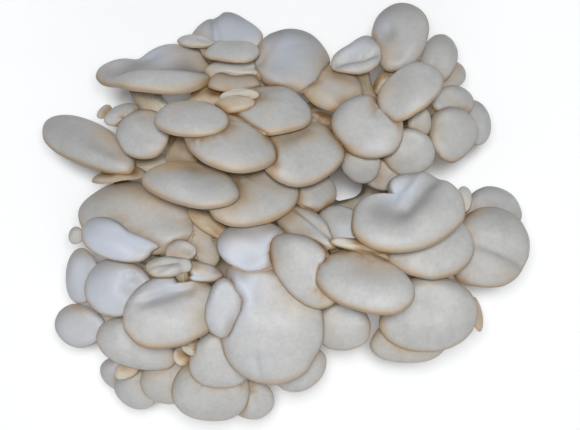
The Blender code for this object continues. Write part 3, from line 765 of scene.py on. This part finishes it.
right = {
    "01": dict(heading=-70, leanTo=90, lean=26, dip=0.25, back=0.45, lobes=[(-61, -0.28, 24)],
               swells=[(-67, -0.25, 10), (-38, 0.06, 14)], dents=[(0.15, 0.05, 0.22, 0.42)],
               folds=[(0.0, 0.02, -0.80, -0.60, 0.11, 0.14), (0.05, -0.2, -0.5, -0.75, -0.07, 0.12)],
               coolLights=[(0.0, -0.4, 0.28, 1.0)],
               greyShades=[(-0.3, 0.0, 0.28, 0.6), (0.12, 0.2, 0.25, 0.5), (0.5, -0.12, 0.3, 0.55),
                      (-0.55, -0.32, 0.2, 0.5)]),
    "02": dict(heading=-75, leanTo=80, lean=32, shaded=0.5),
    "03": dict(heading=10, leanTo=20, lean=22, lobes=[(35, -0.1, 35)], swells=[(-49, 0.14, 15)],
               folds=[(-0.24, -0.4, 0.49, 0.6, 0.14, 0.16), (-0.5, -0.2, -0.7, 0.5, 0.05, 0.12)],
               tans=[(0.8, 0.2, 0.3, 0.4)]),
    "04": dict(heading=20, leanTo=60, lean=38, coolLight=0.25, shaded=0.35),
    "05": dict(heading=-135, leanTo=110, lean=30, shaded=0.3, coolLights=[(-0.2, 0.4, 0.5, 0.6)],
               greyShades=[(0.4, -0.5, 0.4, 0.3)]),
    "06": dict(heading=-115, leanTo=90, lean=38, back=0.25, tans=[(-0.3, -0.6, 0.5, 0.5)],
               swells=[(-112, -0.24, 34), (-150, -0.08, 20)]),
    "07": dict(heading=-140, leanTo=150, lean=12, tans=[(0.5, 0.7, 0.3, 0.5)]),
    "08": dict(heading=145, leanTo=110, lean=40, shaded=0.6, swells=[(-48, -0.14, 24)],
               folds=[(0.31, 0.36, 0.19, -0.95, 0.13, 0.16)], tans=[(-0.3, 0.7, 0.4, 0.8)]),
    "09": dict(heading=-90, leanTo=-60, lean=10, lobes=[(145, -0.09, 35)],
               folds=[(0.6, 0.2, 0.54, 0.8, 0.04, 0.07), (0.05, 0.35, 0.04, 0.9, 0.035, 0.07),
                      (-0.4, 0.3, -0.5, 0.8, 0.03, 0.07)]),
    "10": dict(heading=-90, leanTo=-80, lean=20),
    "11": dict(heading=-85, leanTo=-90, lean=15),
}
lowerLeft = {
    "01": dict(heading=165, leanTo=110, lean=35, lobes=[(95, 0.09, 20)], tans=[(0.8, -0.3, 0.6, 0.9)]),
    "02": dict(heading=160, leanTo=120, lean=20, coolLight=0.8, lobes=[(-15, -0.22, 30), (180, -0.08, 40)],
               swells=[(-15, -0.10, 35), (-62, 0.24, 12)]),
    "03": dict(heading=175, leanTo=150, lean=12, coolLight=0.6, folds=[(0.42, -0.21, 0.5, -0.44, 0.07, 0.05)],
               dents=[(0.1, -0.4, 0.10, 0.25)]),
    "04": dict(heading=170, leanTo=180, lean=35, coolLight=0.6),
    "05": dict(heading=-175, leanTo=-160, lean=20, coolLight=0.4),
    "06": dict(heading=-110, leanTo=-110, lean=15),
    "07": dict(heading=-70, leanTo=90, lean=18, folds=[(0.45, -0.36, -0.45, -0.33, 0.14, 0.17)],
               coolLights=[(-0.05, -0.7, 0.4, 1.0)], greyShades=[(0.1, -0.35, 0.35, 0.35)]),
    "08": dict(heading=180, leanTo=90, lean=45, warm=0.2, wavy=0.06, ripple=0.07,
               folds=[(-0.2, 0.9, 0.2, -0.2, 0.12, 0.2)], swells=[(-130, -0.3, 30), (60, 0.1, 30)]),
    "09": dict(heading=180, leanTo=90, lean=20, ripple=0.05, warm=0.2),
    "10": dict(heading=5, leanTo=60, lean=28, warm=0.3),
    "11": dict(heading=-110, leanTo=-110, lean=25),
    "12": dict(heading=-140, leanTo=-120, lean=30, coolLight=0.2),
    "13": dict(heading=-150, leanTo=-140, lean=35, coolLight=0.2),
}
lowerMiddle = {
    "01": dict(heading=95, leanTo=90, lean=20, coolLight=0.6, ripple=0.06, shaded=0.5),
    "02": dict(heading=-90, leanTo=-90, lean=10, ripple=0.03, rank=30, shaded=0.55,
               lobes=[(145, -0.06, 25), (20, -0.04, 12)], swells=[(-52, 0.30, 20)],
               dents=[(0.75, -0.85, -0.08, 0.22), (0.45, -0.95, 0.06, 0.15), (0.15, -0.8, 0.05, 0.2),
                      (0.45, -0.5, -0.04, 0.2)],
               folds=[(0.3, 0.42, 0.21, 0.85, 0.04, 0.08), (0.9, 0.0, 0.6, -0.5, 0.08, 0.12)],
               coolLights=[(0.75, -0.3, 0.35, 0.5), (0.3, 0.6, 0.35, 0.2), (0.5, -0.95, 0.45, 0.9)]),
    "03": dict(heading=-100, leanTo=-90, lean=18, shaded=0.4),
    "04": dict(heading=-100, leanTo=-90, lean=28),
    "05": dict(heading=-80, leanTo=-80, lean=30),
    "06": dict(heading=-50, leanTo=-60, lean=24),
}
clumps = dict(upper_left=upperLeft, upper_right=upperRight, right=right, lower_left=lowerLeft,
              lower_middle=lowerMiddle)
# shaded sets how strongly the painted shade near neighbours shows on each clump
clumpTones = dict(upper_left=dict(grey=0.16, shaded=0.85), upper_right=dict(grey=0.14, shaded=0.6),
                  right=dict(grey=0.04, shaded=0.85), lower_left=dict(shaded=0.5),
                  lower_middle=dict(shaded=0.6))
forms = {f"{clump}_mushroom_{number}": {**plainCap, **clumpTones[clump], **form}
         for clump, caps in clumps.items() for number, form in caps.items()}

# small caps and lobes that fork off the others' stems: from which one, how far from the middle of its rim
# and how wide and long, in mm
budding = dict(fork=0.35)
buds = {
    "tongue_by_lens": dict(beside="upper_left_mushroom_03", at=(-27, 9, -15), size=(16, 32),
                           heading=165, leanTo=95, lean=58),
    "tan_bud": dict(beside="upper_left_mushroom_06", at=(-24, 5, 8), size=(31, 15),
                    heading=-80, leanTo=100, lean=35, warm=0.9),
    "gill_edge": dict(beside="upper_left_mushroom_06", at=(-20, 12, 1), size=(28, 12),
                      heading=-85, leanTo=95, lean=35, pale=0.8, shaded=0.4),
    "ribbed_bud": dict(beside="upper_left_mushroom_05", at=(-19, -9, -2), size=(27, 20),
                       heading=-110, leanTo=110, lean=35, pale=0.9, warm=0.3, ripple=0.07),
    "far_left_bud": dict(beside="upper_left_mushroom_09", at=(-17, 14, -16), size=(27, 21),
                         heading=110, leanTo=110, lean=40),
    "far_left_tip": dict(beside="upper_left_mushroom_09", at=(-31, 17, -26), size=(13, 10),
                         heading=150, leanTo=110, lean=30, warm=0.4),
    "edge_on_cap": dict(beside="upper_left_mushroom_10", at=(26, -25, 24), size=(40, 26),
                        heading=-82, leanTo=98, lean=74, warm=0.3),
    "shaded_bud": dict(beside="upper_left_mushroom_13", at=(14, 26, -32), size=(22, 12),
                       heading=-105, leanTo=90, lean=30, pale=0.6),
    "pale_tongue": dict(beside="upper_left_mushroom_04", at=(-37, -7, 2), size=(23, 50),
                        heading=180, leanTo=90, lean=35, pale=0.5, coolLight=0.4, shaded=0.4),
    "neck": dict(beside="upper_right_mushroom_01", at=(-9, -32, 0), size=(16, 28),
                 heading=-120, leanTo=90, lean=20, pale=0.9),
    "right_bud": dict(beside="right_mushroom_01", at=(46, 9, -61), size=(12, 20),
                      heading=90, leanTo=30, lean=20, pale=0.4),
    "rim_strip": dict(beside="right_mushroom_07", at=(38, 16, -1), size=(44, 11),
                      heading=-100, leanTo=80, lean=40, pale=0.5, tans=[(-0.6, 0, 0.5, 0.8)]),
    "rim_bud": dict(beside="right_mushroom_07", at=(46, 9, 1), size=(24, 10),
                    heading=-90, leanTo=80, lean=30, pale=0.5),
    "low_strip": dict(beside="right_mushroom_09", at=(36, -2, -29), size=(9, 26),
                      heading=-80, leanTo=0, lean=30, warm=0.7),
    "left_bud": dict(beside="lower_left_mushroom_01", at=(-47, -11, -21), size=(13, 13),
                     heading=170, leanTo=160, lean=20),
    "tan_strip": dict(beside="lower_left_mushroom_10", at=(6, 10, 6), size=(14, 42),
                      heading=144, leanTo=60, lean=25, warm=0.7),
    "side_lobe": dict(beside="lower_middle_mushroom_02", at=(-33, 13, 7), size=(27, 43),
                      heading=-95, leanTo=-75, lean=12, coolLight=0.3, ripple=0.05, rank=40, shaded=0.25),
    "white_bud": dict(beside="lower_left_mushroom_06", at=(-8, -20, -14), size=(21, 13),
                      heading=-60, leanTo=90, lean=20, pale=0.6),
    "middle_bud": dict(beside="lower_middle_mushroom_03", at=(-21, 11, 3), size=(19, 15),
                       heading=30, leanTo=90, lean=20, pale=0.5),
    "middle_neck": dict(beside="lower_middle_mushroom_03", at=(-28, 2, -5), size=(13, 15),
                        heading=-60, leanTo=90, lean=20, pale=0.9),
    "back_ridge": dict(beside="lower_left_mushroom_07", at=(18, 27, -1), size=(38, 15),
                       heading=78, leanTo=90, lean=20, coolLight=0.4),
}


def growAll(flesh):
    growths = {node: (*measureCap(node, form), findFoot(node)) for node, form in forms.items()}
    for name, bud in buds.items():
        parent = growths[bud["beside"]]
        place = parent[0] + np.array(bud["at"]) * mm
        fork = onCurve(stemPath(forms[bud["beside"]], *parent), budding["fork"])
        out = (place - fork) / np.linalg.norm(place - fork)
        forms[name] = dict(plainCap, **bud)
        growths[name] = (place, *(length * mm / 2 for length in bud["size"]), (fork, out))

    def rankOf(name):
        return growths[name][0][2] + forms[name]["rank"] * mm

    meshes = {}
    for name in sorted(growths, key=rankOf, reverse=True):  # from the top down, the lower ones give way
        piece = growMushroom(name, forms[name], flesh, *growths[name])
        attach(piece, "root")
        if name not in buds:
            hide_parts(name)
        meshes[name] = piece.data
    print("mushrooms grown:", len(meshes), "faces:", sum(len(mesh.polygons) for mesh in meshes.values()))
    roof = BVHTree.FromPolygons(canopy["points"], canopy["faces"])
    ways = slantWays()
    for name in growths:
        paintNeighbourShade(name, meshes[name], roof, ways)
    print("mushrooms shaded")


base = dict(voxel=2.6 * mm, ribs=19, ribWave=30, ribBend=1.6, swell=1.5 * mm, lumpWave=150, lumps=1.1 * mm,
            darkBelow=(5 * mm, 75 * mm), cut=(2 * mm, 12 * mm))


def buildBase(flesh):
    piece = addObject("fused_base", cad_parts["stem_base"].data.copy())
    remesh = piece.modifiers.new("evened", "REMESH")
    remesh.mode = "VOXEL"
    remesh.voxel_size = base["voxel"]
    bpy.context.view_layer.update()
    mesh = bpy.data.meshes.new_from_object(piece.evaluated_get(bpy.context.evaluated_depsgraph_get()))
    piece.modifiers.clear()
    piece.data = mesh
    points, normals = readVertices(mesh).astype(float), readVertices(mesh, "normal")
    turn = np.arctan2(points[:, 1], points[:, 0])
    bend = softWaves(points, base["ribWave"], 5) * base["ribBend"]
    ribs = np.sin(turn * base["ribs"] + bend) * base["swell"]
    ribs = ribs + softWaves(points, base["lumpWave"], 6) * base["lumps"]
    raised = smoothStep(points[:, 2], *base["cut"])  # the cut face stays flat
    points += normals * (ribs * raised)[:, None]
    points[:, 2] = np.maximum(points[:, 2], 0)
    mesh.vertices.foreach_set("co", points.astype(np.float32).ravel())
    # darker towards the bottom
    low = 1 - smoothStep(points[:, 2], *base["darkBelow"])
    mesh.attributes.new("low", "FLOAT", "POINT").data.foreach_set("value", low.astype(np.float32))
    mesh.update()
    mesh.shade_smooth()
    mesh.materials.clear()
    mesh.materials.append(flesh)
    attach(piece, "root")
    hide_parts("stem_base")


buildStudio()
print("studio built")
growAll(mushroomFlesh())
buildBase(footFlesh())
print("base built")
